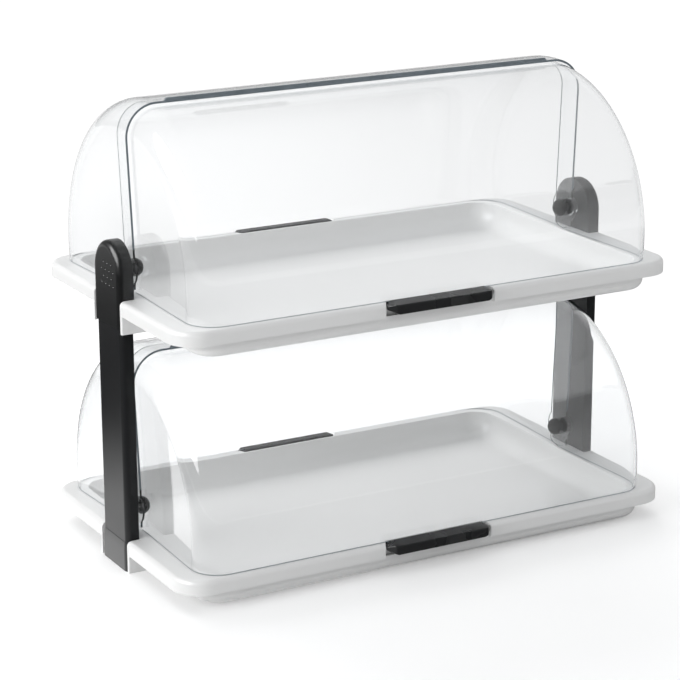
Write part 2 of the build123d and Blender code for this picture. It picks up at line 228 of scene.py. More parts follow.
@dataclass(frozen=True)
class ClearFinish:
    """Polished clear sheet with a cold tint inside its thickness."""

    name: str
    tint: Colour
    density: float
    roughness: float
    shade_pass: Colour
    specular: float = 0.25
    bending: float = 1.49
    wipe_scale: float = 9.0

    def build(self) -> bpy.types.Material:
        """Make the material.

        Returns:
            The finished material.
        """
        sheet = NodeSheet(self.name)
        shader = sheet.add("BsdfPrincipled")
        shader.inputs["Base Color"].default_value = (1.0, 1.0, 1.0, 1.0)
        shader.inputs["Transmission Weight"].default_value = 1.0
        shader.inputs["IOR"].default_value = self.bending
        shader.inputs["Specular IOR Level"].default_value = self.specular
        wipe = sheet.noise(self.wipe_scale)
        sheet.link(sheet.spread(wipe.outputs["Fac"], 0.0, self.roughness), shader.inputs["Roughness"])
        clear = sheet.add("BsdfTransparent")
        clear.inputs["Color"].default_value = (*self.shade_pass, 1.0)
        path = sheet.add("LightPath")
        either = sheet.add("Math", operation="MAXIMUM")
        sheet.link(path.outputs["Is Shadow Ray"], either.inputs[0])
        sheet.link(path.outputs["Is Diffuse Ray"], either.inputs[1])
        mix = sheet.add("MixShader")
        sheet.link(either.outputs["Value"], mix.inputs["Fac"])
        sheet.link(shader.outputs["BSDF"], mix.inputs[1])
        sheet.link(clear.outputs["BSDF"], mix.inputs[2])
        sheet.link(mix.outputs["Shader"], sheet.output.inputs["Surface"])
        inside = sheet.add("VolumeAbsorption")
        inside.inputs["Color"].default_value = (*self.tint, 1.0)
        inside.inputs["Density"].default_value = self.density
        sheet.link(inside.outputs["Volume"], sheet.output.inputs["Volume"])
        return sheet.material


@dataclass(frozen=True)
class PaintedEdgeShadeFinish:
    """Sawn and flame-polished edge of clear sheet, drawn opaque in a painted dark, cold shade with lighter
    streaks, which stands in for the light the clear edge bends and mirrors.
    """

    name: str
    dark: Colour
    light: Colour
    roughness: tuple[float, float]
    streak_scale: float = 55.0
    streak_detail: float = 3.0
    saw_scale: float = 700.0

    def build(self) -> bpy.types.Material:
        """Make the material.

        Returns:
            The finished material.
        """
        sheet = NodeSheet(self.name)
        shader = sheet.add("BsdfPrincipled")
        # Painted shade: the colour runs in streaks between a dark and a lighter cold grey.
        streak = sheet.noise(self.streak_scale, self.streak_detail)
        colour = sheet.blend_colours(streak.outputs["Fac"], self.dark, self.light)
        sheet.link(colour, shader.inputs["Base Color"])
        saw = sheet.noise(self.saw_scale)
        sheet.link(sheet.spread(saw.outputs["Fac"], *self.roughness), shader.inputs["Roughness"])
        sheet.link(shader.outputs["BSDF"], sheet.output.inputs["Surface"])
        return sheet.material


@dataclass(frozen=True)
class PlatedFinish:
    """Zinc plate on small hardware."""

    name: str
    colour: Colour
    drift: Colour
    roughness: tuple[float, float]
    cloud_scale: float = 240.0
    cloud_detail: float = 4.0

    def build(self) -> bpy.types.Material:
        """Make the material.

        Returns:
            The finished material.
        """
        sheet = NodeSheet(self.name)
        shader = sheet.add("BsdfPrincipled")
        shader.inputs["Metallic"].default_value = 1.0
        cloud = sheet.noise(self.cloud_scale, self.cloud_detail)
        colour = sheet.blend_colours(cloud.outputs["Fac"], self.colour, self.drift)
        sheet.link(colour, shader.inputs["Base Color"])
        sheet.link(sheet.spread(cloud.outputs["Fac"], *self.roughness), shader.inputs["Roughness"])
        sheet.link(shader.outputs["BSDF"], sheet.output.inputs["Surface"])
        return sheet.material


WHITE_TRAY = MouldedFinish(
    name="white_tray_plastic", colour=(0.80, 0.80, 0.795), drift=(0.83, 0.83, 0.825),
    roughness=0.34, roughness_spread=0.05, skin_scale=900.0, skin_depth=2e-5, specular=0.45)
BLACK_PULL = MouldedFinish(
    name="black_pull_plastic", colour=(0.0160, 0.0165, 0.0175), drift=(0.0205, 0.0210, 0.0220),
    roughness=0.28, roughness_spread=0.05, skin_scale=1500.0, skin_depth=3e-5, specular=0.45)
PULL_PATCH = MouldedFinish(
    name="black_pull_matte_patch", colour=(0.020, 0.021, 0.022), drift=(0.030, 0.031, 0.032),
    roughness=0.62, roughness_spread=0.06, skin_scale=2600.0, skin_depth=8e-5, specular=0.5)
BLACK_POST = MouldedFinish(
    name="black_post_plastic", colour=(0.0115, 0.0120, 0.0130), drift=(0.0150, 0.0155, 0.0165),
    roughness=0.30, roughness_spread=0.05, skin_scale=1800.0, skin_depth=3e-5, specular=0.2)
BLACK_MOULDING = MouldedFinish(
    name="black_cap_plastic", colour=(0.0045, 0.0050, 0.0055), drift=(0.0065, 0.0070, 0.0075),
    roughness=0.30, roughness_spread=0.05, skin_scale=1600.0, skin_depth=3e-5, specular=0.5)
BLACK_STUD = MouldedFinish(
    name="black_stud_plastic", colour=(0.0100, 0.0105, 0.0110), drift=(0.0140, 0.0145, 0.0150),
    roughness=0.24, roughness_spread=0.05, skin_scale=1500.0, skin_depth=2e-5, specular=0.5)
GREY_TAPE = MouldedFinish(
    name="grey_foam_tape", colour=(0.17, 0.17, 0.17), drift=(0.22, 0.22, 0.22),
    roughness=0.8, roughness_spread=0.1, skin_scale=2500.0, skin_depth=2e-4, specular=0.2)
CLEAR_COVER = ClearFinish(
    name="clear_cover_sheet", tint=(0.64, 0.70, 0.745), density=34.0,
    roughness=0.02, shade_pass=(0.98, 0.98, 0.98))
CLEAR_SPACER = ClearFinish(
    name="clear_spacer_plastic", tint=(0.60, 0.72, 0.78), density=9.0,
    roughness=0.05, shade_pass=(0.95, 0.96, 0.97))
# Painted shade: the covers' cut edges and beads are opaque dark cold grey in place of the light a clear edge
# bends and mirrors.
CUT_EDGE_PAINTED_SHADE = PaintedEdgeShadeFinish(
    name="clear_cover_cut_edge_painted_shade", dark=(0.130, 0.158, 0.180), light=(0.200, 0.232, 0.256),
    roughness=(0.18, 0.42))
ZINC_SCREW = PlatedFinish(
    name="zinc_screw_plate", colour=(0.62, 0.63, 0.64), drift=(0.72, 0.72, 0.71),
    roughness=(0.25, 0.45))


class Bench:
    """Turns bmesh work into finished pieces of the frame."""

    def whole(self, bm: bmesh.types.BMesh) -> list:
        """Every vertex, edge and face of a mesh in work."""
        return bm.verts[:] + bm.edges[:] + bm.faces[:]

    def split(self, bm: bmesh.types.BMesh, place: Point, normal: Point, reach: float = math.inf) -> None:
        """Score a mesh along a plane, only within a given reach of the middle.

        Args:
            bm: The mesh in work.
            place: A point on the plane.
            normal: The plane's normal.
            reach: Largest distance along X of the faces that are scored.
        """
        faces = [f for f in bm.faces if abs(f.calc_center_median().x) < reach]
        edges = list({e for f in faces for e in f.edges})
        verts = list({v for f in faces for v in f.verts})
        bmesh.ops.bisect_plane(bm, geom=verts + edges + faces, dist=MERGE, plane_co=place, plane_no=normal)

    def trim(self, bm: bmesh.types.BMesh, place: Point, normal: Point) -> None:
        """Cut off what lies in front of a plane and close the cut.

        Args:
            bm: The mesh in work.
            place: A point on the plane.
            normal: The plane's normal, towards the part that goes.
        """
        cut = bmesh.ops.bisect_plane(bm, geom=self.whole(bm), dist=MERGE, plane_co=place, plane_no=normal,
                                     clear_outer=True)
        rim = [g for g in cut["geom_cut"] if isinstance(g, bmesh.types.BMEdge)]
        bmesh.ops.edgeloop_fill(bm, edges=rim)

    def round_edges(self, bm: bmesh.types.BMesh, edges: list, radius: float, segments: int) -> None:
        """Round some edges with a number of flats."""
        bmesh.ops.bevel(bm, geom=edges, offset=radius, offset_type="OFFSET", segments=segments, profile=0.5,
                        affect="EDGES", clamp_overlap=True, material=-1)

    def piece(self, name: str, bm: bmesh.types.BMesh,
              finishes: list[bpy.types.Material]) -> bpy.types.Object:
        """Make an object of a mesh drawn in millimetres.

        Args:
            name: The piece's name.
            bm: The mesh in work, which is used up.
            finishes: Its materials in order of index.

        Returns:
            The new object, at the origin.
        """
        bmesh.ops.scale(bm, vec=(MM, MM, MM), verts=bm.verts)
        for face in bm.faces:
            face.smooth = True
        mesh = bpy.data.meshes.new(name)
        bm.to_mesh(mesh)
        bm.free()
        for finish in finishes:
            mesh.materials.append(finish)
        item = bpy.data.objects.new(name, mesh)
        bpy.context.scene.collection.objects.link(item)
        return item

    def give_wall(self, item: bpy.types.Object, wall: float, rim_offset: int) -> None:
        """Give a sheet its wall thickness, inwards.

        Args:
            item: The sheet.
            wall: Thickness in millimetres.
            rim_offset: Material index step of the cut edges.
        """
        modifier = item.modifiers.new("wall", "SOLIDIFY")
        modifier.thickness = wall * MM
        modifier.offset = -1.0
        modifier.use_even_offset = True
        modifier.material_offset_rim = rim_offset
        self.settle(item)

    def cut_out(self, item: bpy.types.Object, tool: bpy.types.Object) -> None:
        """Cut a tool's shape out of an object.

        Args:
            item: The object that is cut.
            tool: The closed shape that goes.
        """
        modifier = item.modifiers.new("cut_out", "BOOLEAN")
        modifier.operation = "DIFFERENCE"
        modifier.solver = "EXACT"
        modifier.object = tool
        self.settle(item)

    def settle(self, item: bpy.types.Object) -> None:
        """Apply an object's modifiers to its mesh.

        Args:
            item: The object.
        """
        graph = bpy.context.evaluated_depsgraph_get()
        mesh = bpy.data.meshes.new_from_object(item.evaluated_get(graph))
        item.modifiers.clear()
        item.data = mesh

    def mirror(self, item: bpy.types.Object) -> None:
        """Turn a right-hand piece into the left-hand one.

        Args:
            item: The piece, drawn on the right.
        """
        bm = bmesh.new()
        bm.from_mesh(item.data)
        bmesh.ops.scale(bm, vec=(-1, 1, 1), verts=bm.verts)
        bmesh.ops.reverse_faces(bm, faces=bm.faces)
        bm.to_mesh(item.data)
        bm.free()

    def crisp(self, item: bpy.types.Object) -> None:
        """Keep corners sharp and flats flat in the shading.

        Args:
            item: The finished piece.
        """
        bm = bmesh.new()
        bm.from_mesh(item.data)
        for edge in bm.edges:
            edge.smooth = len(edge.link_faces) == 2 and edge.calc_face_angle() < CRISP
        bm.to_mesh(item.data)
        bm.free()
        modifier = item.modifiers.new("flat_shading", "WEIGHTED_NORMAL")
        modifier.keep_sharp = True

    def place(self, item: bpy.types.Object, body: str, slot: str, *nodes: str) -> None:
        """Put a piece on its body and hide the nodes it stands in for.

        Args:
            item: The piece.
            body: The body it rides.
            slot: Not used.
            *nodes: The plain nodes that it replaces.
        """
        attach(item, body)
        if nodes:
            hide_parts(*nodes)
        LOG.info("built %s on %s with %d faces", item.name, body, len(item.data.polygons))


@dataclass(frozen=True)
class Covers:
    """The nested clear covers of both levels, in millimetres and radians."""

    bench: Bench
    end: float = 234.0
    roof: float = 149.5
    corner: float = 30.0
    lean: float = math.radians(2.3)
    hole: float = 4.08
    hub: float = 16.5
    relief: float = 20.5
    wall: float = 2.0
    nest_gap: float = 1.5
    low: float = -21.2
    tab_low: float = -26.5
    tab_half: float = 50.0
    rear_lead: float = 11.0
    front_lead: float = 12.0
    bead_half: float = 200.0
    bead_rise: float = 2.0
    bead_end: float = 2.5
    bead_root: float = 0.6
    bead_round: float = 0.5
    bead_round_steps: int = 2
    steps: int = 144
    corner_steps: int = 12

    def inset(self, face: Face) -> float:
        """How far a cover is set in from the outermost one."""
        return self.wall + self.nest_gap if face is Face.FRONT else 0.0

    def half_profile(self, depth: float) -> list[tuple[float, float]]:
        """Outline of one end's wall and corner as distance along X and radius.

        Args:
            depth: How far the cover is set in from the outermost one.

        Returns:
            Points from the pivot hole to the roof's middle.
        """
        lean = self.lean
        end, roof, corner = self.end - depth, self.roof - depth, self.corner - depth
        centre_r = roof - corner
        centre_x = end + (centre_r - self.hub) * math.tan(lean) - corner / math.cos(lean)
        points = [(end, self.hole), (end, self.hub)]
        points.append((end + (self.relief - self.hub) * math.tan(lean), self.relief))
        for step in range(self.corner_steps + 1):
            angle = -lean + (math.pi / 2 + lean) * step / self.corner_steps
            points.append((centre_x + corner * math.cos(angle), centre_r + corner * math.sin(angle)))
        points.append((self.tab_half, roof))
        return points

    def kept(self, centre: Vector, lead: float, side: int) -> bool:
        """Whether a face of the whole drum belongs to the cover.

        Args:
            centre: The face's middle, about the pivot axis.
            lead: How far the cover reaches past the top.
            side: Direction of the cover along Y.

        Returns:
            True where the sheet stays.
        """
        y, z = centre.y * side, centre.z
        reach = math.hypot(y, z)
        swung = y < 0 and z < 0 and reach > self.relief
        body = y > -lead and z > self.low and not swung
        tab = abs(centre.x) < self.tab_half and y > self.hub and z > self.tab_low
        return reach < self.hub or body or tab

    def sheet(self, face: Face) -> bmesh.types.BMesh:
        """Spin a cover's outer surface and cut it to its own side.

        Args:
            face: Front or rear cover.

        Returns:
            The surface about the pivot axis.
        """
        lead = self.front_lead if face is Face.FRONT else self.rear_lead
        right = self.half_profile(self.inset(face))
        outline = right + [(-x, r) for x, r in reversed(right)]
        bm = bmesh.new()
        verts = [bm.verts.new((x, 0.0, -r)) for x, r in outline]
        edges = [bm.edges.new(pair) for pair in zip(verts, verts[1:])]
        bmesh.ops.spin(bm, geom=verts + edges, cent=(0, 0, 0), axis=(1, 0, 0), dvec=(0, 0, 0),
                       angle=math.tau, steps=self.steps, use_merge=True, use_duplicate=False)
        bmesh.ops.remove_doubles(bm, verts=bm.verts, dist=MERGE)
        bmesh.ops.recalc_face_normals(bm, faces=bm.faces)
        self.bench.split(bm, (0, -lead * face.side, 0), (0, 1, 0))
        self.bench.split(bm, (0, 0, self.low), (0, 0, 1))
        self.bench.split(bm, (0, 0, self.tab_low), (0, 0, 1), self.tab_half)
        waste = [f for f in bm.faces if not self.kept(f.calc_center_median(), lead, face.side)]
        bmesh.ops.delete(bm, geom=waste, context="FACES")
        return bm

    def polish_hub(self, item: bpy.types.Object, axis: float) -> None:
        """Leave the moulded rim around each pivot hole clear, unlike the sawn edges.

        Args:
            item: The cover with its wall.
            axis: Height of the pivot axis.
        """
        for face in item.data.polygons:
            reach = math.hypot(face.center.y, face.center.z - axis * MM)
            if reach < (self.relief + self.wall) * MM:
                face.material_index = 0

    def bead(self) -> bmesh.types.BMesh:
        """Draw the upstanding bead along the rear cover's leading edge.

        Returns:
            The closed mesh, about the pivot axis.
        """
        low = math.sqrt(self.roof ** 2 - self.rear_lead ** 2) - self.bead_root
        high = self.roof + self.bead_rise
        middle = (high + low) / 2
        bm = bmesh.new()
        cube = bmesh.ops.create_cube(bm, size=1.0)["verts"]
        bmesh.ops.scale(bm, vec=(2 * self.bead_half, self.wall, high - low), verts=cube)
        bmesh.ops.translate(bm, vec=(0, self.wall / 2 - self.rear_lead, middle), verts=cube)
        for vert in cube:
            if vert.co.z > middle:
                vert.co.x -= math.copysign(self.bead_end, vert.co.x)
        top = [e for e in bm.edges if min(v.co.z for v in e.verts) > middle]
        self.bench.round_edges(bm, top, self.bead_round, self.bead_round_steps)
        return bm

    def build(self, clear: bpy.types.Material, cut: bpy.types.Material) -> None:
        """Build every cover.

        Args:
            clear: Finish of the sheet.
            cut: Finish of its cut edges, an opaque painted dark shade.
        """
        for tier in Tier:
            for face in Face:
                stem = f"{tier.value}_{face.value}_cover"
                bm = self.sheet(face)
                bmesh.ops.translate(bm, vec=(0, 0, tier.rise + PIVOT_RISE), verts=bm.verts)
                item = self.bench.piece(f"{stem}_sheet", bm, [clear, cut])
                self.bench.give_wall(item, self.wall, 1)
                self.polish_hub(item, tier.rise + PIVOT_RISE)
                self.bench.crisp(item)
                self.bench.place(item, f"{stem}_body", "cover_clear", stem)
            bm = self.bead()
            bmesh.ops.translate(bm, vec=(0, 0, tier.rise + PIVOT_RISE), verts=bm.verts)
            # The bead wears the cut edges' painted dark shade all over.
            item = self.bench.piece(f"{tier.value}_rear_cover_bead", bm, [cut])
            self.bench.crisp(item)
            self.bench.place(item, f"{tier.value}_rear_cover_body", "cover_clear")


@dataclass(frozen=True)
class Pulls:
    """The black pulls pressed onto the covers' tabs, in millimetres and radians."""

    bench: Bench
    half: float = 55.0
    face_half: float = 48.5
    lip_half: float = 50.5
    waist: float = 7.0
    outer: float = 157.0
    top: float = 31.4
    fall: float = 2.1
    height: float = 10.9
    lip: float = 1.2
    lip_top: float = 29.8
    tip_half: float = 1.6
    tip_run: float = 9.0
    slot_low: float = 24.7
    slot_inside: float = 2.3
    slot_outside: float = 0.54
    slot_steps: int = 4
    outer_round: float = 0.9
    outer_round_steps: int = 3
    lip_round: float = 0.35
    lip_round_steps: int = 2
    lip_crisp: float = math.radians(40.0)
    patch: tuple[float, float] = (6.0, 24.0)
    overrun: float = 3.0

    def slot_wall(self, radius: float, high: float) -> list[tuple[float, float]]:
        """Points up one curved wall of the slot.

        Args:
            radius: The wall's radius about the pivot axis.
            high: Where the wall ends.

        Returns:
            Points as Y and Z, from the slot's floor up.
        """
        rise = high - self.slot_low
        heights = [self.slot_low + rise * step / self.slot_steps for step in range(self.slot_steps + 1)]
        return [(math.sqrt(radius ** 2 - (PIVOT_RISE - z) ** 2), z) for z in heights]

    def section(self, radius: float) -> list[tuple[float, float]]:
        """Cross-section of a pull for a cover of the given radius.

        Args:
            radius: The cover's outer radius.

        Returns:
            Points as Y and Z.
        """
        inner = self.slot_wall(radius - self.slot_inside, self.lip_top)
        outer = self.slot_wall(radius + self.slot_outside, self.top)
        low, lip_face = self.top - self.height, inner[0][0] - self.lip
        ridge = (radius, self.top)
        return [(lip_face, low), (self.outer, low), (self.outer, self.top - self.fall), ridge,
                *reversed(outer), *inner, (lip_face, self.lip_top)]

    def bar(self, radius: float) -> bmesh.types.BMesh:
        """Draw a rear pull at the lower level.

        Args:
            radius: The cover's outer radius.

        Returns:
            The closed mesh.
        """
        reach = self.half + self.overrun
        section = self.section(radius)
        lip_face = section[0][0]
        bm = bmesh.new()
        face = bm.faces.new([bm.verts.new((-reach, y, z)) for y, z in section])
        grown = bmesh.ops.extrude_face_region(bm, geom=[face])["geom"]
        moved = [g for g in grown if isinstance(g, bmesh.types.BMVert)]
        bmesh.ops.translate(bm, vec=(2 * reach, 0, 0), verts=moved)
        bmesh.ops.recalc_face_normals(bm, faces=bm.faces)
        knee = self.outer - self.waist
        from_lip = Vector((self.half - self.lip_half, knee - lip_face))
        to_face = Vector((self.face_half - self.half, self.waist))
        for side in (-1, 1):
            for run in (from_lip, to_face):
                self.bench.trim(bm, (side * self.half, knee, 0), (side * run.y, -run.x, 0))
        rise = self.height / 2 - self.tip_half
        for side, up in ((-1, -1), (-1, 1), (1, -1), (1, 1)):
            tip = (side * self.half, 0, self.top - self.height / 2 + up * self.tip_half)
            self.bench.trim(bm, tip, (side * rise, 0, up * self.tip_run))
        bmesh.ops.recalc_face_normals(bm, faces=bm.faces)
        sharp = [e for e in bm.edges if e.calc_face_angle(0.0) > CRISP]
        outside = [e for e in sharp if min(v.co.y for v in e.verts) > radius - MERGE]
        self.bench.round_edges(bm, outside, self.outer_round, self.outer_round_steps)
        sharp = [e for e in bm.edges if e.calc_face_angle(0.0) > self.lip_crisp]
        self.bench.round_edges(bm, sharp, self.lip_round, self.lip_round_steps)
        for x in self.patch:
            self.bench.split(bm, (x, 0, 0), (1, 0, 0))
        for face in bm.faces:
            middle = face.calc_center_median()
            on_face = middle.y > self.outer - MERGE and self.patch[0] < middle.x < self.patch[1]
            face.material_index = int(on_face)
        return bm

    def build(self, finish: bpy.types.Material, patch: bpy.types.Material, covers: Covers) -> None:
        """Build every pull.

        Args:
            finish: Their finish.
            patch: Finish of the matte patch on the outer face.
            covers: The covers they sit on.
        """
        for tier in Tier:
            for face in Face:
                stem = f"{tier.value}_{face.value}"
                bm = self.bar(covers.roof - covers.inset(face))
                bmesh.ops.scale(bm, vec=(1, face.side, 1), verts=bm.verts)
                bmesh.ops.translate(bm, vec=(0, 0, tier.rise), verts=bm.verts)
                bmesh.ops.recalc_face_normals(bm, faces=bm.faces)
                item = self.bench.piece(f"{stem}_pull", bm, [finish, patch])
                self.bench.crisp(item)
                self.bench.place(item, f"{stem}_cover_body", "handle_black", f"{stem}_handle")


@dataclass(frozen=True)
class Caps:
    """The arched snap-on caps over the posts' upper ends, in millimetres and radians."""

    bench: Bench
    half: float = 27.7
    inside: float = 241.2
    outside: float = 256.1
    wall: float = 1.3
    low: float = 228.0
    sill: float = 255.2
    hole: float = 4.5
    outer_round: float = 6.0
    outer_round_steps: int = 8
    inner_round: float = 0.6
    inner_round_steps: int = 2
    inner_crisp: float = 1.0
    arc_steps: int = 48
    dimple_radius: float = 1.3
    dimple_depth: float = 0.7
    dimple_pitch: float = 8.2
    dimple_rows: int = 4
    dimple_counts: tuple[int, int] = (4, 3)
    dimple_row_pitch: float = 6.4
    dimple_low: float = 266.0
    dimple_middle: float = -4.0
    ball_segments: int = 16
    ball_rings: int = 12

    def arch(self, bm: bmesh.types.BMesh, x: float) -> list[bmesh.types.BMVert]:
        """Draw the arch's open outline at one depth.

        Args:
            bm: The mesh in work.
            x: Where along X it is drawn.

        Returns:
            Its vertices from one lower end over the top to the other.
        """
        axis = TIER_PITCH + PIVOT_RISE
        points = [(-self.half, self.low), (-self.half, self.sill)]
        for step in range(self.arc_steps + 1):
            angle = math.pi * (1 - step / self.arc_steps)
            points.append((self.half * math.cos(angle), axis + self.half * math.sin(angle)))
        points += [(self.half, self.sill), (self.half, self.low)]
        return [bm.verts.new((x, y, z)) for y, z in points]

    def skin(self) -> bmesh.types.BMesh:
        """Draw the right-hand cap's outer surface, open below and behind the bracket.

        Returns:
            The open surface.
        """
        bm = bmesh.new()
        outer = self.arch(bm, self.outside)
        edges = [bm.edges.new(pair) for pair in zip(outer, outer[1:])]
        grown = bmesh.ops.extrude_edge_only(bm, edges=edges)["geom"]
        inner = [g for g in grown if isinstance(g, bmesh.types.BMVert)]
        bmesh.ops.translate(bm, vec=(self.inside - self.outside, 0, 0), verts=inner)
        bm.faces.new(outer)
        upper = [v for v in inner if v.co.z > self.sill - MERGE]
        ends = [v for v in upper if v.co.z < self.sill + MERGE]
        bm.edges.new(ends)
        loop = [e for e in bm.edges if all(v in upper for v in e.verts)]
        pivot = Matrix.Translation((self.inside, 0, TIER_PITCH + PIVOT_RISE))
        turn = pivot @ Matrix.Rotation(math.pi / 2, 4, "Y")
        ring = bmesh.ops.create_circle(bm, cap_ends=False, radius=self.hole, segments=len(loop),
                                       matrix=turn)["verts"]
        hole = [e for e in bm.edges if all(v in ring for v in e.verts)]
        bmesh.ops.bridge_loops(bm, edges=loop + hole)
        bmesh.ops.recalc_face_normals(bm, faces=bm.faces)
        front = [e for e in bm.edges if len(e.link_faces) == 2
                 and all(v.co.x > self.outside - MERGE for v in e.verts)]
        self.bench.round_edges(bm, front, self.outer_round, self.outer_round_steps)
        back = [e for e in bm.edges if len(e.link_faces) == 2 and e.calc_face_angle() > self.inner_crisp
                and all(v.co.x < self.inside + MERGE for v in e.verts)]
        self.bench.round_edges(bm, back, self.inner_round, self.inner_round_steps)
        return bm

    def dimple_tool(self) -> bpy.types.Object:
        """Make the pattern of small balls that presses the dimples.

        Returns:
            The balls as one object, to be removed after use.
        """
        bm = bmesh.new()
        radius = (self.dimple_radius ** 2 + self.dimple_depth ** 2) / (2 * self.dimple_depth)
        for row in range(self.dimple_rows):
            count = self.dimple_counts[row % 2]
            for column in range(count):
                y = self.dimple_middle + (column - (count - 1) / 2) * self.dimple_pitch
                z = self.dimple_low + row * self.dimple_row_pitch
                spot = Matrix.Translation((self.outside + radius - self.dimple_depth, y, z))
                bmesh.ops.create_uvsphere(bm, u_segments=self.ball_segments, v_segments=self.ball_rings,
                                          radius=radius, matrix=spot)
        return self.bench.piece("dimple_tool", bm, [])

    def build(self, finish: bpy.types.Material) -> None:
        """Build both caps.

        Args:
            finish: Their finish.
        """
        tool = self.dimple_tool()
        for end in End:
            item = self.bench.piece(f"{end.value}_cap_shell", self.skin(), [finish])
            self.bench.give_wall(item, self.wall, 0)
            self.bench.cut_out(item, tool)
            if end is End.LEFT:
                self.bench.mirror(item)
            self.bench.crisp(item)
            self.bench.place(item, "stand", "moulding_black", f"{end.value}_post_cap")
        bpy.data.objects.remove(tool)


@dataclass(frozen=True)
class Feet:
    """The snap-on shoes round the posts' lower ends, in millimetres."""

    bench: Bench
    half: float = 27.7
    inside: float = 242.6
    outside: float = 256.1
    wall: float = 1.3
    corner: float = 6.1
    corner_steps: int = 8
    height: float = 27.5
    taper: float = 7.0
    upper_wall: float = 0.13
    plate: float = 1.5
    overrun: float = 5.0

    def block(self, inset: float, low: float, high: float, inward: float) -> bmesh.types.BMesh:
        """Draw a block with its outer upright edges rounded.

        Args:
            inset: How far its outer faces stay inside the shoe's.
            low: Its lower face.
            high: Its upper face.
            inward: How far it reaches past the shoe's inner side.

        Returns:
            The closed mesh.
        """
        x0, x1, half = self.inside - inward, self.outside - inset, self.half - inset
        bm = bmesh.new()
        cube = bmesh.ops.create_cube(bm, size=1.0)["verts"]
        bmesh.ops.scale(bm, vec=(x1 - x0, 2 * half, high - low), verts=cube)
        bmesh.ops.translate(bm, vec=((x0 + x1) / 2, 0, (low + high) / 2), verts=cube)
        upright = [e for e in bm.edges if all(v.co.x > x1 - MERGE for v in e.verts)
                   and abs(e.verts[0].co.y - e.verts[1].co.y) < MERGE]
        self.bench.round_edges(bm, upright, self.corner - inset, self.corner_steps)
        return bm

    def shoe(self) -> bmesh.types.BMesh:
        """Draw the right-hand shoe's outer shape, thinned towards its upper edge.

        Returns:
            The closed mesh.
        """
        bm = self.block(0.0, 0.0, self.height, 0.0)
        self.bench.split(bm, (0, 0, self.height - self.taper), (0, 0, 1))
        thin = self.wall - self.upper_wall
        deep = self.outside - self.inside
        for vert in bm.verts:
            if vert.co.z > self.height - MERGE:
                vert.co.x = self.inside + (vert.co.x - self.inside) * (deep - thin) / deep
                vert.co.y *= (self.half - thin) / self.half
        return bm

    def build(self, finish: bpy.types.Material) -> None:
        """Build both shoes.

        Args:
            finish: Their finish.
        """
        hollow = self.block(self.wall, self.plate, self.height + self.overrun, self.overrun)
        room = self.bench.piece("shoe_room", hollow, [])
        for end in End:
            item = self.bench.piece(f"{end.value}_foot_shoe", self.shoe(), [finish])
            self.bench.cut_out(item, room)
            if end is End.LEFT:
                self.bench.mirror(item)
            self.bench.crisp(item)
            self.bench.place(item, "stand", "moulding_black", f"{end.value}_post_foot")
        bpy.data.objects.remove(room)


class Carried:
    """The carried-over nodes and their finishes."""

    def __init__(self, nodes: dict[str, bpy.types.Object]) -> None:
        """Keep the nodes.

        Args:
            nodes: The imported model's nodes by name.
        """
        self.nodes = nodes

    def dress(self, name: str, material: bpy.types.Material) -> None:
        """Give a node its finish.

        Args:
            name: The node.
            material: Its finish.
        """
        for place in self.nodes[name].material_slots:
            place.material = material
        LOG.info("dressed %s in %s", name, material.name)

    def build(self) -> None:
        """Give every carried-over node its finish."""
        tray, tape, stud = WHITE_TRAY.build(), GREY_TAPE.build(), BLACK_STUD.build()
        post = BLACK_POST.build()
        for tier in Tier:
            self.dress(f"{tier.value}_tray", tray)
            for face in Face:
                self.dress(f"{tier.value}_{face.value}_handle_tape", tape)
            for end in End:
                self.dress(f"{tier.value}_{end.value}_stud", stud)
        for end in End:
            self.dress(f"{end.value}_post", post)
        self.dress("pivot_spacers", CLEAR_SPACER.build())
        self.dress("bracket_screws", ZINC_SCREW.build())


@dataclass(frozen=True)
class Lamp:
    """One soft rectangular lamp, in metres and watts. A gleam is only mirrored and lights nothing."""

    name: str
    place: Point
    size: tuple[float, float]
    power: float
    gleam: bool = False


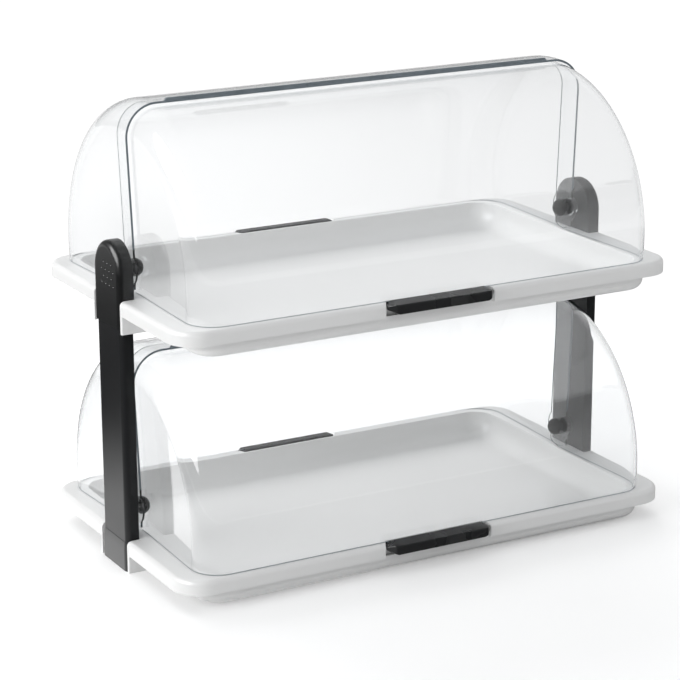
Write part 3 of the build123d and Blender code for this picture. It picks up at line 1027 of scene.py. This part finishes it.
@dataclass
class Studio:
    """Pale floor, soft lamps, white surround and the camera, with places in metres and angles in degrees."""

    eye: Point = (-1.0861, -1.9282, 0.8354)
    azimuth: float = 28.95
    pitch: float = 16.61
    roll: float = -0.22
    lens: float = 129.56
    sensor: float = 36.0
    far: float = 200.0
    floor_half: float = 30.0
    floor_colour: Colour = (0.80, 0.80, 0.80)
    floor_glow: float = 0.30
    white: float = 1.06
    white_place: Point = (0.0, 0.0, 0.0)
    white_through: tuple[float, float] = (1.12, 0.92)
    white_across: Point = (0.875, -0.485, 0.0)
    white_span: tuple[float, float] = (-0.4, 0.5)
    white_reach: tuple[float, float] = (0.50, 1.0)
    pool_place: Point = (-0.27, 0.05, 0.0)
    pool_reach: tuple[float, float] = (0.08, 0.40)
    pool_glow: tuple[float, float] = (1.7, 0.05)
    sweep_place: Point = (-0.4, -1.5, 0.0)
    sweep_reach: tuple[float, float] = (2.35, 2.85)
    sweep_glow: tuple[float, float] = (0.0, 0.75)
    surround: float = 0.58
    surround_tint: Colour = (0.98, 0.99, 1.0)
    mirrored_surround: float = 0.25
    aim: Point = (0.0, 0.0, 0.2)
    lamps: tuple[Lamp, ...] = (
        Lamp("overhead_softbox", (-0.5, 0.3, 2.4), (2.4, 2.0), 5.0),
        Lamp("left_softbox", (-2.4, -0.3, 1.0), (1.6, 1.6), 30.0),
        Lamp("left_gleam", (-2.1, 0.25, 1.6), (2.6, 1.6), 110.0, True),
        Lamp("right_softbox", (2.4, -0.3, 1.0), (1.6, 1.6), 6.0),
        Lamp("rear_softbox", (0.2, 2.15, 1.65), (3.0, 1.6), 46.0),
    )

    def smooth(self, sheet: NodeSheet, source: bpy.types.NodeSocket, reach: tuple[float, float],
               values: tuple[float, float]) -> bpy.types.NodeSocket:
        """Step smoothly between two values.

        Args:
            sheet: The material.
            source: What is measured.
            reach: Measures where the step starts and ends.
            values: Values at its start and end.

        Returns:
            The stepped socket.
        """
        ramp = sheet.add("MapRange", interpolation_type="SMOOTHSTEP")
        for name, value in zip(("From Min", "From Max", "To Min", "To Max"), (*reach, *values)):
            ramp.inputs[name].default_value = value
        sheet.link(source, ramp.inputs["Value"])
        return ramp.outputs["Result"]

    def ramp(self, sheet: NodeSheet, place: Point, reach: tuple[float, float],
             values: tuple[float, float]) -> bpy.types.NodeSocket:
        """Lay a smooth radial ramp on the floor.

        Args:
            sheet: The floor's material.
            place: The ramp's middle.
            reach: Distances where it starts and ends.
            values: Values at its start and end.

        Returns:
            The ramp's socket.
        """
        where = sheet.add("TexCoord")
        away = sheet.add("VectorMath", operation="DISTANCE")
        away.inputs[1].default_value = place
        sheet.link(where.outputs["Object"], away.inputs[0])
        return self.smooth(sheet, away.outputs["Value"], reach, values)

    def mix(self, sheet: NodeSheet, factor: bpy.types.NodeSocket, first: bpy.types.NodeSocket,
            second: bpy.types.NodeSocket) -> bpy.types.NodeSocket:
        """Mix two shaders.

        Args:
            sheet: The material.
            factor: Share of the second shader.
            first: The first shader.
            second: The second shader.

        Returns:
            The mixed shader's socket.
        """
        node = sheet.add("MixShader")
        for spot, socket in enumerate((factor, first, second)):
            sheet.link(socket, node.inputs[spot])
        return node.outputs["Shader"]

    def looked_at(self, sheet: NodeSheet, path: bpy.types.Node,
                  matte: bpy.types.Node) -> bpy.types.NodeSocket:
        """Finish the floor as the eye sees it: matte with a soft shadow near the bin, white further out.

        Args:
            sheet: The floor's material.
            path: Its light path node.
            matte: Its matte shader.

        Returns:
            The shader's socket.
        """
        glow = sheet.add("Emission")
        glow.inputs["Strength"].default_value = self.floor_glow
        near = sheet.add("AddShader")
        sheet.link(matte.outputs["BSDF"], near.inputs[0])
        sheet.link(glow.outputs["Emission"], near.inputs[1])
        white = sheet.add("Emission")
        sheet.link(self.white_level(sheet, path), white.inputs["Strength"])
        fade = self.ramp(sheet, self.white_place, self.white_reach, (0.0, 1.0))
        return self.mix(sheet, fade, near.outputs["Shader"], white.outputs["Emission"])

    def white_level(self, sheet: NodeSheet, path: bpy.types.Node) -> bpy.types.NodeSocket:
        """Set how bright the white floor is, straight and through the covers.

        Args:
            sheet: The floor's material.
            path: Its light path node.

        Returns:
            The strength's socket.
        """
        where = sheet.add("TexCoord")
        across = sheet.add("VectorMath", operation="DOT_PRODUCT")
        across.inputs[1].default_value = self.white_across
        sheet.link(where.outputs["Object"], across.inputs[0])
        through = self.smooth(sheet, across.outputs["Value"], self.white_span, self.white_through)
        level = sheet.add("Mix", data_type="FLOAT")
        level.inputs["A"].default_value = self.white
        sheet.link(path.outputs["Is Transmission Ray"], level.inputs["Factor"])
        sheet.link(through, level.inputs["B"])
        return level.outputs["Result"]

    def mirrored(self, sheet: NodeSheet) -> bpy.types.NodeSocket:
        """Finish the floor as the bin mirrors it: a bright pool close by and a wide sweep far out.

        Args:
            sheet: The floor's material.

        Returns:
            The shader's socket.
        """
        pool = sheet.add("Emission")
        total = sheet.add("Math", operation="ADD")
        sheet.link(self.ramp(sheet, self.pool_place, self.pool_reach, self.pool_glow), total.inputs[0])
        sheet.link(self.ramp(sheet, self.sweep_place, self.sweep_reach, self.sweep_glow), total.inputs[1])
        sheet.link(total.outputs["Value"], pool.inputs["Strength"])
        return pool.outputs["Emission"]

    def floor_finish(self) -> bpy.types.Material:
        """Make the floor's material: plain for light, white where looked at, glowing where mirrored.

        Returns:
            The finished material.
        """
        sheet = NodeSheet("studio_floor")
        matte = sheet.add("BsdfDiffuse")
        matte.inputs["Color"].default_value = (*self.floor_colour, 1.0)
        path = sheet.add("LightPath")
        seen = sheet.add("Math", operation="MAXIMUM")
        only_mirrored = sheet.add("Math", operation="SUBTRACT", use_clamp=True)
        for rays, node in ((("Is Camera Ray", "Is Transmission Ray"), seen),
                           (("Is Glossy Ray", "Is Transmission Ray"), only_mirrored)):
            for spot, ray in enumerate(rays):
                sheet.link(path.outputs[ray], node.inputs[spot])
        looked_at = self.looked_at(sheet, path, matte)
        lit = self.mix(sheet, seen.outputs["Value"], matte.outputs["BSDF"], looked_at)
        final = self.mix(sheet, only_mirrored.outputs["Value"], lit, self.mirrored(sheet))
        sheet.link(final, sheet.output.inputs["Surface"])
        return sheet.material

    def build_floor(self) -> None:
        """Lay the floor: it keeps the soft shadow and is white where it is looked at."""
        bm = bmesh.new()
        bmesh.ops.create_grid(bm, x_segments=1, y_segments=1, size=self.floor_half)
        mesh = bpy.data.meshes.new("floor")
        bm.to_mesh(mesh)
        bm.free()
        mesh.materials.append(self.floor_finish())
        floor = bpy.data.objects.new("floor", mesh)
        bpy.context.scene.collection.objects.link(floor)

    def build_world(self) -> None:
        """Make the surround: white where it is seen, softer where it lights or is mirrored."""
        world = bpy.data.worlds.new("studio")
        bpy.context.scene.world = world
        world.use_nodes = True
        tree = world.node_tree
        tree.nodes.clear()
        out = tree.nodes.new("ShaderNodeOutputWorld")
        path = tree.nodes.new("ShaderNodeLightPath")
        last = tree.nodes.new("ShaderNodeBackground")
        last.inputs["Color"].default_value = (*self.surround_tint, 1.0)
        last.inputs["Strength"].default_value = self.surround
        shades = (("Is Glossy Ray", self.mirrored_surround), ("Is Transmission Ray", 1.0),
                  ("Is Camera Ray", 1.0))
        for ray, strength in shades:
            shade = tree.nodes.new("ShaderNodeBackground")
            shade.inputs["Strength"].default_value = strength
            shade.inputs["Color"].default_value = (1.0, 1.0, 1.0, 1.0)
            mix = tree.nodes.new("ShaderNodeMixShader")
            tree.links.new(path.outputs[ray], mix.inputs["Fac"])
            tree.links.new(last.outputs[0], mix.inputs[1])
            tree.links.new(shade.outputs["Background"], mix.inputs[2])
            last = mix
        tree.links.new(last.outputs[0], out.inputs["Surface"])

    def build_lamps(self) -> None:
        """Hang the softboxes: the lighting ones are not mirrored in the bin, a gleam is only mirrored."""
        for lamp in self.lamps:
            data = bpy.data.lights.new(lamp.name, "AREA")
            data.shape = "RECTANGLE"
            data.size, data.size_y = lamp.size
            data.energy = lamp.power
            item = bpy.data.objects.new(lamp.name, data)
            item.location = lamp.place
            item.rotation_euler = (Vector(self.aim) - item.location).to_track_quat("-Z", "Y").to_euler()
            item.visible_camera = item.visible_transmission = False
            item.visible_diffuse, item.visible_glossy = not lamp.gleam, lamp.gleam
            bpy.context.scene.collection.objects.link(item)

    def build_camera(self) -> None:
        """Set up the camera."""
        data = bpy.data.cameras.new("camera")
        data.lens = self.lens
        data.sensor_width = self.sensor
        data.clip_end = self.far
        camera = bpy.data.objects.new("camera", data)
        a, e = math.radians(self.azimuth), math.radians(self.pitch)
        forward = Vector((math.sin(a) * math.cos(e), math.cos(a) * math.cos(e), -math.sin(e)))
        turn = forward.to_track_quat("-Z", "Y").to_matrix().to_4x4()
        tilt = Matrix.Rotation(math.radians(self.roll), 4, "Z")
        camera.matrix_world = Matrix.Translation(self.eye) @ turn @ tilt
        bpy.context.scene.collection.objects.link(camera)
        bpy.context.scene.camera = camera

    def build(self) -> None:
        """Set up the whole studio."""
        self.build_floor()
        self.build_world()
        self.build_lamps()
        self.build_camera()
        view = bpy.context.scene.view_settings
        view.view_transform = "Standard"


def main() -> None:
    """Build the bin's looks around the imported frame."""
    logging.basicConfig(level=logging.INFO)
    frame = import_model()
    bench = Bench()
    Carried(frame["nodes"]).build()
    covers = Covers(bench)
    covers.build(CLEAR_COVER.build(), CUT_EDGE_PAINTED_SHADE.build())
    Pulls(bench).build(BLACK_PULL.build(), PULL_PATCH.build(), covers)
    moulding = BLACK_MOULDING.build()
    Caps(bench).build(moulding)
    Feet(bench).build(moulding)
    Studio().build()


if __name__ == "__main__":
    main()
